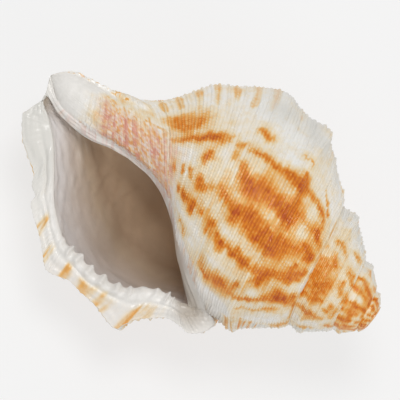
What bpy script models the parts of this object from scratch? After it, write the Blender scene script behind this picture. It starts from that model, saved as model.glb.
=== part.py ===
"""A frog shell lying on its back with the opening up, in metres, +Z up.

The whole shell is one thick solid, grown as a wall that winds round an axis and gets larger by the same
factor each turn. In the shell's own frame X goes to the outer lip, Y along the axis to the apex and Z out
of the opening. An outline is a list of points (place along it, distance from the axis, distance down from
the pole), in millimetres at the lip; at any earlier angle it is the same outline made smaller.
"""

import math

import bmesh
import bpy
import numpy as np
from mathutils import Matrix

MM = 0.001

# How the shell grows. The apex is blunt: the first turns flatten out below the pole
GROWTH_PER_TURN = 1.709
FIRST_ANGLE = -1177.5
ANGLE_STEP = 7.5
STEPS_PER_TURN = 48
BLUNT_APEX = 7.6

# The wall's outline between varices, at a varix and at the outer lip
PLAIN_WALL = (
    (0.00, 22.5, 44.8), (0.04, 24.9, 45.1), (0.08, 27.4, 46.3), (0.12, 30.1, 48.8), (0.20, 33.9, 54.5),
    (0.30, 37.1, 60.7), (0.38, 39.6, 65.0), (0.47, 40.0, 71.0), (0.55, 39.8, 76.7), (0.63, 38.8, 83.0),
    (0.70, 35.5, 90.5), (0.76, 31.7, 97.0), (0.82, 27.2, 103.0), (0.88, 21.4, 108.4), (0.94, 16.3, 113.0),
    (1.00, 12.5, 118.2),
)
VARIX_WALL = (
    (0.00, 25.2, 44.8), (0.04, 27.1, 44.9), (0.08, 29.6, 46.3), (0.12, 32.2, 49.6), (0.20, 36.9, 55.0),
    (0.30, 40.9, 60.2), (0.38, 44.2, 62.3), (0.47, 43.5, 71.0), (0.55, 44.2, 76.7), (0.63, 45.8, 82.7),
    (0.70, 42.0, 90.5), (0.76, 37.1, 97.8), (0.82, 32.5, 105.1), (0.88, 24.7, 110.3), (0.94, 18.2, 114.4),
    (1.00, 13.0, 119.2),
)
OUTER_LIP = (
    (0.00, 25.2, 44.8), (0.04, 27.1, 42.2), (0.08, 30.6, 42.8), (0.12, 33.1, 45.3), (0.17, 33.1, 48.5),
    (0.22, 33.3, 52.3), (0.28, 36.3, 56.4), (0.34, 39.8, 59.9), (0.38, 44.4, 62.3), (0.42, 43.6, 65.9),
    (0.47, 42.5, 70.2), (0.53, 42.0, 75.6), (0.58, 41.5, 80.2), (0.62, 42.5, 83.7), (0.65, 42.8, 86.4),
    (0.70, 39.3, 90.5), (0.75, 35.9, 94.6), (0.79, 33.1, 98.4), (0.82, 30.9, 100.9), (0.85, 28.5, 101.1),
    (0.88, 26.8, 103.5), (0.91, 23.8, 105.1), (0.94, 20.9, 109.2), (0.97, 17.9, 113.3), (1.00, 13.3, 117.1),
)

# The pillar beside the canal, from the neck (place 1) to its tip (place 1.25), which doesn't grow: for each
# angle, places 1.04 to 1.20 as (distance from the axis, distance down from the pole) in millimetres
PILLAR_ANGLES = (-360, -270, -180, -90, -45, 0)
PILLAR = (
    ((5.1, 74.5), (3.8, 81.3), (4.1, 90.8), (6.0, 98.9), (6.0, 108.4)),
    ((7.0, 84.0), (6.2, 89.4), (6.0, 95.4), (5.8, 102.6), (4.6, 111.0)),
    ((9.0, 94.1), (7.6, 98.0), (6.3, 102.6), (5.4, 107.4), (4.0, 113.6)),
    ((9.5, 105.7), (8.1, 108.1), (6.8, 110.6), (5.1, 113.0), (3.3, 115.4)),
    ((10.3, 111.9), (8.7, 113.3), (7.0, 114.4), (5.1, 115.4), (3.0, 116.5)),
    ((11.4, 116.8), (9.2, 116.1), (7.3, 115.4), (5.6, 114.9), (3.6, 115.2)),
)
TIP_DOWN = 117.6

# The edge of the opening, once round: from its back end down the outer lip to the canal, and up the inner
# lip beside the pillar and over the turn before. Behind the thick lip the space widens to a thinner wall
OPENING = (
    (0.00, 27.4, 49.9), (0.05, 27.9, 53.4), (0.10, 27.6, 58.0), (0.15, 29.0, 62.1), (0.20, 32.0, 65.0),
    (0.25, 33.9, 68.6), (0.30, 34.7, 73.2), (0.35, 35.0, 77.2), (0.40, 34.0, 81.8), (0.45, 32.5, 88.1),
    (0.50, 27.4, 95.4), (0.55, 19.2, 102.4), (0.60, 11.9, 108.4), (0.65, 6.8, 115.2), (0.67, 5.0, 115.2),
    (0.70, 6.5, 110.0), (0.74, 7.3, 103.5), (0.78, 7.0, 98.1), (0.82, 5.6, 92.4), (0.86, 4.9, 86.2),
    (0.89, 5.2, 79.7), (0.92, 7.9, 72.6), (0.945, 12.5, 66.4), (0.97, 19.0, 59.6), (0.985, 23.6, 54.5),
    (1.00, 27.4, 49.9),
)
INSIDE = (
    (0.00, 26.6, 49.0), (0.05, 30.0, 53.6), (0.10, 33.0, 58.4), (0.15, 35.6, 63.0), (0.20, 36.9, 67.4),
    (0.25, 37.2, 71.6), (0.30, 37.2, 75.2), (0.35, 36.8, 78.6), (0.40, 35.8, 83.0), (0.45, 32.6, 89.8),
    (0.50, 28.2, 96.4), (0.55, 21.0, 103.4), (0.60, 12.6, 109.0), (0.65, 7.2, 112.6), (0.67, 5.0, 112.2),
    (0.70, 5.4, 108.0), (0.74, 5.6, 103.0), (0.78, 5.3, 98.0), (0.82, 4.5, 92.0), (0.86, 4.1, 86.0),
    (0.89, 4.4, 79.2), (0.92, 7.0, 71.6), (0.945, 11.4, 65.2), (0.97, 18.0, 58.2), (0.985, 22.6, 53.2),
    (1.00, 26.6, 49.0),
)
MOUTH_ANGLE = 13.0
INSIDE_ANGLE = -45.0
HOLLOW_ANGLE = -600.0

# The varices are old lips, half a turn apart; the newest is the lip itself. Each rises slowly and ends steeply
VARIX_SPACING = 180
VARIX_RISE = 48.0
VARIX_FALL = 15.0
LIP_RISE = 42.0

# Three spiral ridges carry knobs between the varices: (place along the wall, half width, height in mm). They
# are low until the last half turn, on the back of the shell, which rests on them
KNOB_RIDGES = ((0.38, 0.038, 3.3), (0.635, 0.034, 2.4), (0.82, 0.030, 1.3))
KNOB_SPACING = 30.0
LOW_KNOBS = 0.5
HIGH_KNOBS_FROM = -170.0

# How it lies, on three knobs of its back: turned about its length, then about its width, in degrees
REST_ROLL = 9.568
REST_PITCH = -5.126

# The places along the outline where points are set: as far as the next turn covers it, then down to the tip
UPPER_PLACES = (0, 0.04, 0.09, 0.14, 0.20, 0.26, 0.32, 0.355, 0.38, 0.41, 0.46, 0.505, 0.55)
LOWER_PLACES = (
    0.585, 0.61, 0.635, 0.66, 0.70, 0.74, 0.775, 0.80, 0.82, 0.84, 0.87, 0.91, 0.95, 1.0, 1.04, 1.08, 1.12, 1.16,
    1.2,
)


def through(table, places):
    """Points on the smooth line through the table's points, at these places along it."""
    table = np.array(table)
    knots, points = table[:, 0], table[:, 1:]
    slopes = np.gradient(points, knots, axis=0)
    index = np.clip(np.searchsorted(knots, places, side="right") - 1, 0, len(knots) - 2)
    step = (knots[index + 1] - knots[index])[:, None]
    part = (places - knots[index])[:, None] / step
    before, after = points[index], points[index + 1]
    leaving, arriving = slopes[index] * step, slopes[index + 1] * step
    eased = part * part * (3 - 2 * part)
    return before + eased * (after - before) + part * (1 - part) * ((1 - part) * leaving - part * arriving)


def ease(amount):
    amount = min(max(amount, 0.0), 1.0)
    return amount * amount * (3 - 2 * amount)


def swelling(angle):
    """0 on the plain wall and 1 on the crest of the nearest varix, the lip left out."""
    crest = VARIX_SPACING * math.ceil(angle / VARIX_SPACING)
    rise = ease(1 - (crest - angle) / VARIX_RISE) ** 1.3 if crest < 0 else 0.0
    fall = ease(1 - (angle - crest + VARIX_SPACING) / VARIX_FALL)
    return max(rise, fall)


def pillar_points(angle):
    """The five points of the pillar at this angle, between the listed ones."""
    table = np.array(PILLAR)
    return np.array([[np.interp(angle, PILLAR_ANGLES, table[:, i, k]) for k in (0, 1)] for i in range(5)])


def outline(angle, places):
    """The outer surface at this angle, in millimetres, as (distance from the axis, distance down)."""
    size = GROWTH_PER_TURN ** (angle / 360)
    upper = places[places <= 1.0]
    swell = swelling(angle)
    lip = ease(1 + angle / LIP_RISE) ** 1.3
    wall = through(PLAIN_WALL, upper)
    wall = wall + swell * (through(VARIX_WALL, upper) - wall)
    wave = 0.5 + 0.5 * math.cos(math.radians(360 * angle / KNOB_SPACING))
    knobs = (0.2 + 0.8 * wave) * (1 - swell) * (1 - lip)
    knobs *= LOW_KNOBS + (1 - LOW_KNOBS) * ease((angle - HIGH_KNOBS_FROM) / KNOB_SPACING)
    for place, width, height in KNOB_RIDGES:
        bump = height * knobs * np.exp(-(((upper - place) / width) ** 2))
        wall = wall + np.stack([bump, np.zeros_like(bump)], axis=1)
    wall = (wall + lip * (through(OUTER_LIP, upper) - wall)) * size
    if len(upper) == len(places):
        return wall
    return np.vstack([wall, pillar_points(angle)])


def placed(points, angle):
    """The outline's points turned to their angle, with the blunt apex, in metres."""
    turn = math.radians(angle)
    down = (points[:, 1] ** 4 + BLUNT_APEX**4) ** 0.25
    return np.stack([points[:, 0] * math.cos(turn), TIP_DOWN - down, points[:, 0] * math.sin(turn)], axis=1) * MM


def joined(rows, mesh):
    """Faces between neighbouring rows of points."""
    for near, far in zip(rows, rows[1:]):
        for i in range(min(len(near), len(far)) - 1):
            corners = []
            for corner in (near[i], far[i], far[i + 1], near[i + 1]):
                if corner not in corners:
                    corners.append(corner)
            mesh.faces.new(corners)


def wound_shell():
    """The solid shell: each turn starts where it meets the one before, and the last one runs to the tip."""
    mesh = bmesh.new()
    count = round(-FIRST_ANGLE / ANGLE_STEP) + 1
    angles = [FIRST_ANGLE + ANGLE_STEP * i for i in range(count)]
    upper = np.array(UPPER_PLACES)
    whole = np.array(UPPER_PLACES + LOWER_PLACES)
    rows = []
    for i, angle in enumerate(angles):
        last_turn = angle >= -360
        points = placed(outline(angle, whole if last_turn else upper), angle)
        row = [mesh.verts.new(point) for point in points[1:]]
        if i < STEPS_PER_TURN:
            row.insert(0, mesh.verts.new(points[0]))
        else:
            row.insert(0, rows[i - STEPS_PER_TURN][len(upper) - 1])
        rows.append(row)
    tip = mesh.verts.new((0, 0, 0))
    last = count - 1 - STEPS_PER_TURN
    for row in rows[last:]:
        row.append(tip)
    joined([row[: len(upper)] for row in rows[: last + 1]], mesh)
    joined(rows[last:], mesh)
    apex = mesh.verts.new((0, (TIP_DOWN - BLUNT_APEX) * MM, 0))
    rim = [row[0] for row in rows[: STEPS_PER_TURN + 1]] + rows[0][len(upper) - 2 : 0 : -1]
    for one, other in zip(rim, rim[1:] + rim[:1]):
        mesh.faces.new((one, other, apex))
    mesh.faces.new(rows[-1] + rows[last][-2 : len(upper) - 1 : -1])
    bmesh.ops.triangulate(mesh, faces=mesh.faces)
    bmesh.ops.recalc_face_normals(mesh, faces=mesh.faces)
    return as_object("shell", mesh)


def hollow(name, start, end, step, count):
    """Part of the space inside: its section swept from the start angle to the end one."""
    mesh = bmesh.new()
    places = np.linspace(0, 1, count + 1)[:-1]
    opening, inside = through(OPENING, places), through(INSIDE, places)
    rings = []
    for angle in np.linspace(start, end, round((end - start) / step) + 1):
        section = inside + ease(1 - angle / INSIDE_ANGLE) * (opening - inside)
        points = placed(section * GROWTH_PER_TURN ** (angle / 360), angle)
        rings.append([mesh.verts.new(point) for point in points])
    joined([ring + ring[:1] for ring in rings], mesh)
    mesh.faces.new(rings[0])
    mesh.faces.new(rings[-1])
    bmesh.ops.triangulate(mesh, faces=mesh.faces)
    bmesh.ops.recalc_face_normals(mesh, faces=mesh.faces)
    return as_object(name, mesh)


def as_object(name, mesh):
    data = bpy.data.meshes.new(name)
    mesh.to_mesh(data)
    mesh.free()
    return bpy.data.objects.new(name, data)


def laid_down(shell, cutters):
    """Turns the shell and what cuts it to how it lies: apex to +X, opening up, lowest point at height 0."""
    turn = Matrix.Rotation(math.radians(REST_PITCH), 4, "Y") @ Matrix.Rotation(math.radians(REST_ROLL), 4, "X")
    turn = turn @ Matrix.Rotation(math.radians(-90), 4, "Z")
    points = np.array([turn @ vertex.co for vertex in shell.data.vertices])
    low, high = points.min(axis=0), points.max(axis=0)
    place = Matrix.Translation((-(low[0] + high[0]) / 2, -(low[1] + high[1]) / 2, -low[2])) @ turn
    for item in [shell, *cutters.objects]:
        item.data.transform(place)


def ceramic(name):
    material = bpy.data.materials.new(name)
    material.use_nodes = True
    shader = material.node_tree.nodes["Principled BSDF"]
    shader.inputs["Base Color"].default_value = (0.80, 0.62, 0.42, 1)
    shader.inputs["Roughness"].default_value = 0.45
    shader.inputs["Metallic"].default_value = 0.0
    return material


def main():
    for item in list(bpy.data.objects):
        bpy.data.objects.remove(item)
    scene = bpy.context.scene
    collection = bpy.data.collections.new("frog shell")
    cutters = bpy.data.collections.new("frog shell cutters")
    scene.collection.children.link(collection)
    scene.collection.children.link(cutters)

    shell = wound_shell()
    collection.objects.link(shell)
    for space in (
        hollow("mouth and last turn", -250.0, MOUTH_ANGLE, 9.0, 36),
        hollow("inner turns", HOLLOW_ANGLE, -248.0, 14.0, 22),
    ):
        cutters.objects.link(space)
        space.hide_render = True
        space.display_type = "WIRE"
        cut = shell.modifiers.new(space.name, "BOOLEAN")
        cut.operation = "DIFFERENCE"
        cut.solver = "EXACT"
        cut.object = space

    laid_down(shell, cutters)
    shell.data.shade_smooth()
    shell.data.materials.append(ceramic("shell"))


main()
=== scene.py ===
"""A frog shell lying on its back on a pale floor, seen from above at the photograph's angle.

The shell is drawn as grown surfaces. One function gives the outer wall for a place along the section and
an angle of growth, a second gives the lip and the lining of the opening. The wall carries cords, beads and
orange flames that follow the growth, the lip stripes and small teeth, and the lining wrinkles.
"""

import math

import bpy
import numpy as np
from mathutils import Matrix, Vector


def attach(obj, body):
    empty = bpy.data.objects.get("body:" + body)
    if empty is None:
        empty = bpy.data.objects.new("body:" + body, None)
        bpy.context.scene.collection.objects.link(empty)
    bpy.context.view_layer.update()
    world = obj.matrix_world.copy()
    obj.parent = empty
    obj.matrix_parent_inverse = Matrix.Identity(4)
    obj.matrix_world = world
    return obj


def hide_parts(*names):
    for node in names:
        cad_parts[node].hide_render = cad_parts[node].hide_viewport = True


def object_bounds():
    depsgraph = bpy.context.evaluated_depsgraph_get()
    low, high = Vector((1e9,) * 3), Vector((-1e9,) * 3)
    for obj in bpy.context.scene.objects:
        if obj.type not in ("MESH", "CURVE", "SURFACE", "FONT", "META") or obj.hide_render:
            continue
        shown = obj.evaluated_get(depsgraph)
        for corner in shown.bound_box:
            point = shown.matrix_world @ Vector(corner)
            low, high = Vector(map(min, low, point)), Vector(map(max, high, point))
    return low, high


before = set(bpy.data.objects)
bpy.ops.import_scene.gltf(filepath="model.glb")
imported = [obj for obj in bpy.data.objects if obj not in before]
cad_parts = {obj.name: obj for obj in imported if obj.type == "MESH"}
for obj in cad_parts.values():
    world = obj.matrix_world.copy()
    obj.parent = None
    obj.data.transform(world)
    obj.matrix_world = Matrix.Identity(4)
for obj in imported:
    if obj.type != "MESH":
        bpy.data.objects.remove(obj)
solid_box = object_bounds()

MM = 0.001

# How the shell grows, in millimetres at the lip, as in the solid
GROWTH_PER_TURN = 1.709
TIP_DOWN = 117.6
BLUNT_APEX = 7.6
PLAIN_WALL = (
    (0.00, 22.5, 44.8), (0.04, 24.9, 45.1), (0.08, 27.4, 46.3), (0.12, 30.1, 48.8), (0.20, 33.9, 54.5),
    (0.30, 37.1, 60.7), (0.38, 39.6, 65.0), (0.47, 40.0, 71.0), (0.55, 39.8, 76.7), (0.63, 38.8, 83.0),
    (0.70, 35.5, 90.5), (0.76, 31.7, 97.0), (0.82, 27.2, 103.0), (0.88, 21.4, 108.4), (0.94, 16.3, 113.0),
    (1.00, 12.5, 118.2),
)
VARIX_WALL = (
    (0.00, 25.2, 44.8), (0.04, 27.1, 44.9), (0.08, 29.6, 46.3), (0.12, 32.2, 49.6), (0.20, 36.9, 55.0),
    (0.30, 40.9, 60.2), (0.38, 44.2, 62.3), (0.47, 43.5, 71.0), (0.55, 44.2, 76.7), (0.63, 45.8, 82.7),
    (0.70, 42.0, 90.5), (0.76, 37.1, 97.8), (0.82, 32.5, 105.1), (0.88, 24.7, 110.3), (0.94, 18.2, 114.4),
    (1.00, 13.0, 119.2),
)
OUTER_LIP = (
    (0.00, 25.2, 44.8), (0.04, 27.1, 42.2), (0.08, 30.6, 42.8), (0.12, 33.1, 45.3), (0.17, 33.1, 48.5),
    (0.22, 33.3, 52.3), (0.28, 36.3, 56.4), (0.34, 39.8, 59.9), (0.38, 44.4, 62.3), (0.42, 43.6, 65.9),
    (0.47, 42.5, 70.2), (0.53, 42.0, 75.6), (0.58, 41.5, 80.2), (0.62, 42.5, 83.7), (0.65, 42.8, 86.4),
    (0.70, 39.3, 90.5), (0.75, 35.9, 94.6), (0.79, 33.1, 98.4), (0.82, 30.9, 100.9), (0.85, 28.5, 101.1),
    (0.88, 26.8, 103.5), (0.91, 23.8, 105.1), (0.94, 20.9, 109.2), (0.97, 17.9, 113.3), (1.00, 13.3, 117.1),
)
PILLAR_ANGLES = (-360, -270, -180, -90, -45, 0)
PILLAR_PLACES = (1.04, 1.08, 1.12, 1.16, 1.20, 1.25)
PILLAR = (
    ((5.1, 74.5), (3.8, 81.3), (4.1, 90.8), (6.0, 98.9), (6.0, 108.4), (0, TIP_DOWN)),
    ((7.0, 84.0), (6.2, 89.4), (6.0, 95.4), (5.8, 102.6), (4.6, 111.0), (0, TIP_DOWN)),
    ((9.0, 94.1), (7.6, 98.0), (6.3, 102.6), (5.4, 107.4), (4.0, 113.6), (0, TIP_DOWN)),
    ((9.5, 105.7), (8.1, 108.1), (6.8, 110.6), (5.1, 113.0), (3.3, 115.4), (0, TIP_DOWN)),
    ((10.3, 111.9), (8.7, 113.3), (7.0, 114.4), (5.1, 115.4), (3.0, 116.5), (0, TIP_DOWN)),
    ((11.4, 116.8), (9.2, 116.1), (7.3, 115.4), (5.6, 114.9), (3.6, 115.2), (0, TIP_DOWN)),
)
OPENING = (
    (0.00, 27.4, 49.9), (0.05, 28.9, 53.0), (0.10, 29.5, 57.4), (0.15, 31.0, 61.2), (0.20, 33.8, 64.3),
    (0.25, 35.7, 68.2), (0.30, 36.4, 73.0), (0.35, 36.5, 77.4), (0.40, 35.3, 82.3), (0.45, 33.4, 88.6),
    (0.50, 27.8, 95.7), (0.55, 19.2, 102.4), (0.60, 11.9, 108.4), (0.65, 6.8, 115.2), (0.67, 5.0, 115.2),
    (0.70, 6.5, 110.0), (0.74, 7.3, 103.5), (0.78, 7.0, 98.1), (0.82, 5.6, 92.4), (0.86, 4.9, 86.2),
    (0.89, 5.2, 79.7), (0.92, 7.9, 72.6), (0.945, 12.5, 66.4), (0.97, 19.0, 59.6), (0.985, 23.6, 54.5),
    (1.00, 27.4, 49.9),
)
INSIDE = (
    (0.00, 26.6, 49.0), (0.05, 30.0, 53.6), (0.10, 33.0, 58.4), (0.15, 35.6, 63.0), (0.20, 36.9, 67.4),
    (0.25, 37.2, 71.6), (0.30, 37.2, 75.2), (0.35, 36.8, 78.6), (0.40, 34.8, 82.4), (0.45, 30.6, 88.2),
    (0.50, 25.8, 94.0), (0.55, 18.4, 100.4), (0.60, 11.0, 106.6), (0.65, 6.6, 111.6), (0.67, 5.0, 112.0),
    (0.70, 5.4, 108.0), (0.74, 5.6, 103.0), (0.78, 5.3, 98.0), (0.82, 4.5, 92.0), (0.86, 4.1, 86.0),
    (0.89, 4.4, 79.2), (0.92, 7.0, 71.6), (0.945, 11.4, 65.2), (0.97, 18.0, 58.2), (0.985, 22.6, 53.2),
    (1.00, 26.6, 49.0),
)
SUTURE_PLACE = 0.505
SEAT_REACH = 0.13
NECK_ROWS = 6
NECK_BREADTH = 0.03
APEX_START = -2520.0
APEX_CLOSING = 360.0
VARIX_SPACING = 180
VARIX_RISE = 48.0
VARIX_FALL = 15.0
RISE_POWER = 1.3
WORN_FROM = 0.52
WORN_OVER = 0.12
WORN_SPAN = 60
LIP_RISE = 42.0
KNOB_RIDGES = ((0.38, 0.038, 3.3), (0.635, 0.034, 2.4), (0.82, 0.030, 1.3))
KNOB_SPACING = 30.0
LOW_KNOBS = 0.5
HIGH_KNOBS_FROM = -170.0

# How it lies
REST_ROLL = 9.568
REST_PITCH = -5.126
LAID_AT = (-54.780, 4.608, 31.423)
BOX_SOFTNESS = 0.7
SHELL_TO_WORLD = (
    Matrix.Rotation(math.radians(REST_PITCH), 3, "Y")
    @ Matrix.Rotation(math.radians(REST_ROLL), 3, "X")
    @ Matrix.Rotation(math.radians(-90), 3, "Z")
)


def through(knots, points, places):
    """Points on the smooth line through the knots: cubic pieces with the slope of the neighbours at each."""
    knots, points = np.asarray(knots, float), np.asarray(points, float)
    slopes = np.gradient(points, knots, axis=0)
    index = np.clip(np.searchsorted(knots, places, side="right") - 1, 0, len(knots) - 2)
    shape = (len(places),) + (1,) * (points.ndim - 1)
    step = (knots[index + 1] - knots[index]).reshape(shape)
    part = (places - knots[index]).reshape(shape) / step
    before, after = points[index], points[index + 1]
    eased = part * part * (3 - 2 * part)
    bend = (1 - part) * slopes[index] * step - part * slopes[index + 1] * step
    return before + eased * (after - before) + part * (1 - part) * bend


def table_line(table, places):
    """Points on the smooth line through a table of (place, distance from the axis, distance down)."""
    table = np.array(table)
    return through(table[:, 0], table[:, 1:], places)


def read_off(table, places):
    """Values read off a table of pairs, straight from one to the next."""
    return np.interp(places, *np.array(table).T)


def bell(values, centre, width):
    """1 at the centre, less on both sides: the exponential of minus the squared distance in widths."""
    return np.exp(-(((values - centre) / width) ** 2))


def ease(amount):
    """From 0 to 1 with a soft start and a soft end."""
    amount = np.clip(amount, 0, 1)
    return amount * amount * (3 - 2 * amount)


def size_at(angles):
    """The size as a share of that at the lip: the growth of one turn to the power of the turns."""
    return GROWTH_PER_TURN ** (angles / 360)


def swelling(places, angles):
    """How far the wall has swelled into a varix: rises slowly to each crest and falls steeply after it. The
    varix one turn before the lip is worn away past the middle of the wall."""
    angles = np.atleast_2d(angles)
    crest = VARIX_SPACING * np.ceil(angles / VARIX_SPACING)
    rise = np.where(crest < 0, ease(1 - (crest - angles) / VARIX_RISE) ** RISE_POWER, 0)
    fall = ease(1 - (angles - crest + VARIX_SPACING) / VARIX_FALL)
    swell = np.maximum(rise, fall) * np.ones((len(places), 1))
    worn = ease((places - WORN_FROM) / WORN_OVER)[:, None] * ease(1 - np.abs(angles + 360) / WORN_SPAN)
    return swell * (1 - worn)


def outline(places, angles):
    """The wall as (distance from the axis, distance down): the plain outline, swelled to a varix, knobbed,
    opened into the lip over the last stretch, and shrunk with the growth; past the neck, the pillar's."""
    size = size_at(angles)[None, :, None]
    upper = places[places <= 1.0]
    swell = swelling(upper, angles)[..., None]
    lip = (ease(1 + angles / LIP_RISE) ** RISE_POWER)[None, :, None]
    wall = table_line(PLAIN_WALL, upper)[:, None, :]
    wall = wall + swell * (table_line(VARIX_WALL, upper)[:, None, :] - wall)
    wave = 0.5 + 0.5 * np.cos(np.radians(360 * angles / KNOB_SPACING))
    high = LOW_KNOBS + (1 - LOW_KNOBS) * ease((angles - HIGH_KNOBS_FROM) / KNOB_SPACING)
    knobs = ((0.2 + 0.8 * wave) * high)[None, :] * (1 - swell[..., 0]) * (1 - lip[..., 0])
    for place, width, height in KNOB_RIDGES:
        wall[..., 0] += height * knobs * bell(upper, place, width)[:, None]
    wall = (wall + lip * (table_line(OUTER_LIP, upper)[:, None, :] - wall)) * size
    lower = places[places > 1.0]
    if len(lower) == 0:
        return wall
    pillar = through(PILLAR_ANGLES, np.array(PILLAR), angles).transpose(1, 0, 2)
    neck = outline(np.array([0.94, 1.0]), angles)
    knots = (0.94, 1.0) + PILLAR_PLACES
    return np.concatenate([wall, through(knots, np.concatenate([neck, pillar]), lower)])


def turned(points, angles):
    """Section points turned to their angle round the axis, in millimetres. The distance down becomes the
    fourth root of its fourth power and that of the bluntness together, so that the apex is blunt."""
    turn = np.radians(angles)
    down = (points[..., 1] ** 4 + BLUNT_APEX**4) ** 0.25
    return np.stack([points[..., 0] * np.cos(turn), TIP_DOWN - down, points[..., 0] * np.sin(turn)], axis=-1)


def closed_in(section, angles):
    """Sections drawn in to the axis over the first turn, so that the apex is closed."""
    kept = ease((angles - APEX_START) / APEX_CLOSING)[None, :]
    return np.stack([section[..., 0] * kept, section[..., 1]], axis=-1)


def wall_surface(places, angles):
    """The outer wall before its relief: the outline at each place and angle, turned round the axis. Near the
    seam it is moved on to the turn before, by the gap between them times the square of the nearness."""

    def at(where):
        return turned(closed_in(outline(where, angles), angles), angles[None, :])

    seat = turned(closed_in(outline(np.array([SUTURE_PLACE]), angles - 360), angles - 360), angles[None, :])
    gap = seat - at(np.array([0.0]))
    reach = np.clip(1 - places / SEAT_REACH, 0, 1)[:, None, None] ** 2
    return rounded_neck(at(places) + gap * reach, places)


def rounded_neck(points, places):
    """The points, smoothed along the columns where the wall turns into the pillar: each is drawn to the mean
    of its neighbours, by a bell over the place."""
    if places[-1] <= 1.0:
        return points
    padded = np.concatenate([points[:1]] * NECK_ROWS + [points] + [points[-1:]] * NECK_ROWS)
    smooth = np.mean([padded[k : k + len(points)] for k in range(2 * NECK_ROWS + 1)], axis=0)
    return points + (smooth - points) * bell(places, 1.0, NECK_BREADTH)[:, None, None]


def facing(points):
    """Unit normals of a grid of points."""
    along = np.gradient(points, axis=1)
    across = np.gradient(points, axis=0)
    normal = np.cross(along, across)
    return normal / (np.linalg.norm(normal, axis=-1, keepdims=True) + 1e-9)


# Meshes and random fields
LATTICE = 256
DRAWS = 512


def world_turned(vectors):
    """Directions in the shell's own frame, turned to how it lies."""
    return vectors @ np.array(SHELL_TO_WORLD).T


def laid(points):
    """From the shell's own frame in millimetres to how it lies, in metres."""
    return held_in(world_turned(points) + np.array(LAID_AT), *np.array(solid_box) / MM) * MM


def held_in(points, low, high):
    """Points pressed smoothly into the solid's box: within the softness of a side, the room that is left
    becomes an exponential of itself, which never reaches zero."""
    for near, sign in ((low, 1), (high, -1)):
        room = sign * (points - near)
        pressed = BOX_SOFTNESS * np.exp(np.minimum(room / BOX_SOFTNESS, 1) - 1)
        points = near + sign * np.where(room < BOX_SOFTNESS, pressed, room)
    return points


def grid_mesh(name, points, normals, attributes, closed=False):
    """A mesh object from a grid of points and normals; closed joins the last row to the first, and fills the
    ring of the last column with one face."""
    rows, columns = points.shape[:2]
    number = np.arange(rows * columns).reshape(rows, columns)
    if closed:
        number = np.vstack([number, number[:1]])
    quads = np.stack([number[:-1, :-1], number[:-1, 1:], number[1:, 1:], number[1:, :-1]], axis=-1)
    corners, starts = quads.ravel(), np.arange(0, quads.size, 4)
    if closed:
        corners, starts = np.append(corners, number[-2::-1, -1]), np.append(starts, quads.size)
    mesh = bpy.data.meshes.new(name)
    mesh.vertices.add(rows * columns)
    mesh.vertices.foreach_set("co", laid(points).astype(np.float32).ravel())
    mesh.loops.add(len(corners))
    mesh.loops.foreach_set("vertex_index", corners.astype(np.int32))
    mesh.polygons.add(len(starts))
    mesh.polygons.foreach_set("loop_start", starts.astype(np.int32))
    mesh.update(calc_edges=True)
    for label, values in attributes.items():
        layer = mesh.attributes.new(label, "FLOAT", "POINT")
        layer.data.foreach_set("value", np.asarray(values, np.float32).ravel())
    mesh.shade_smooth()
    mesh.normals_split_custom_set_from_vertices(world_turned(normals).reshape(-1, 3))
    piece = bpy.data.objects.new(name, mesh)
    bpy.context.scene.collection.objects.link(piece)
    return piece


def random_field(seed, rows, columns):
    """Smooth random values from -1 to 1 over a grid: a lattice of random numbers, eased between them."""
    lattice = np.random.default_rng(seed).random((LATTICE + 1, LATTICE + 1)) * 2 - 1
    r, c = np.floor(rows).astype(int), np.floor(columns).astype(int)
    down, over = ease(rows - r)[:, None], ease(columns - c)[None, :]
    r, c = r % LATTICE, c % LATTICE
    upper = lattice[r][:, c] * (1 - over) + lattice[r][:, c + 1] * over
    lower = lattice[r + 1][:, c] * (1 - over) + lattice[r + 1][:, c + 1] * over
    return upper * (1 - down) + lower * down


def own_share(seed, numbers):
    """A random share from 0 to 1 that belongs to each whole number."""
    return np.random.default_rng(seed).random(DRAWS)[numbers.astype(int) % DRAWS]


# Cords, beads and growth lines
CORD_SPACING = 1.35
PILLAR_CORD_SPACING = 0.9
ROWS_PER_CORD = 5
PILLAR_ROWS_PER_CORD = 3
BEAD_SPACING = 2.4
CORD_HEIGHT = 0.23
STRONG_CORD, MIDDLE_CORD, FINE_CORD = 1.55, 1.25, 0.60
SPIRE_RELIEF_FROM = -380
GROWTH_LINE_HEIGHT = 0.035
BROAD_HEIGHT = 0.28
RIM_ANGLE = -195
RIM_HEIGHT = 0.9
SEAM_SINK = 0.22
PLATE_EDGE = ((-360, 1.17), (-300, 1.155), (-240, 1.15), (-200, 1.11), (-150, 1.08), (0, 1.08))
BODY_STEP = 0.42
BODY_PIECES = ("body_front", "body_crest", "body_left", "body_under", "body_back")


def cord_table():
    """Places against the cords counted from the seam: by length along the wall, then down the pillar."""
    wall, pillar = np.linspace(0, 1, 2001), np.linspace(1, 1.25, 801)[1:]
    line = table_line(PLAIN_WALL, wall)
    steps = np.linalg.norm(np.diff(line, axis=0), axis=1)
    upper = np.concatenate([[0], np.cumsum(steps)]) / CORD_SPACING
    line = outline(np.concatenate([[0.99, 1.0], pillar]), np.array([-330.0]))[:, 0]
    lower = np.cumsum(np.linalg.norm(np.diff(line[1:], axis=0), axis=1)) / PILLAR_CORD_SPACING
    return np.concatenate([wall, pillar]), np.concatenate([upper, upper[-1] + lower])


ALL_PLACES, ALL_CORDS = cord_table()
NECK_CORD = float(np.interp(1.0, ALL_PLACES, ALL_CORDS))
ROW_CORDS = np.concatenate([
    np.arange(0, NECK_CORD, 1 / ROWS_PER_CORD),
    np.linspace(NECK_CORD, ALL_CORDS[-1], int((ALL_CORDS[-1] - NECK_CORD) * PILLAR_ROWS_PER_CORD)),
])
ROW_PLACES = np.interp(ROW_CORDS, ALL_CORDS, ALL_PLACES)
SPIRE_ROWS = int(np.searchsorted(ROW_PLACES, 0.60))


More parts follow.
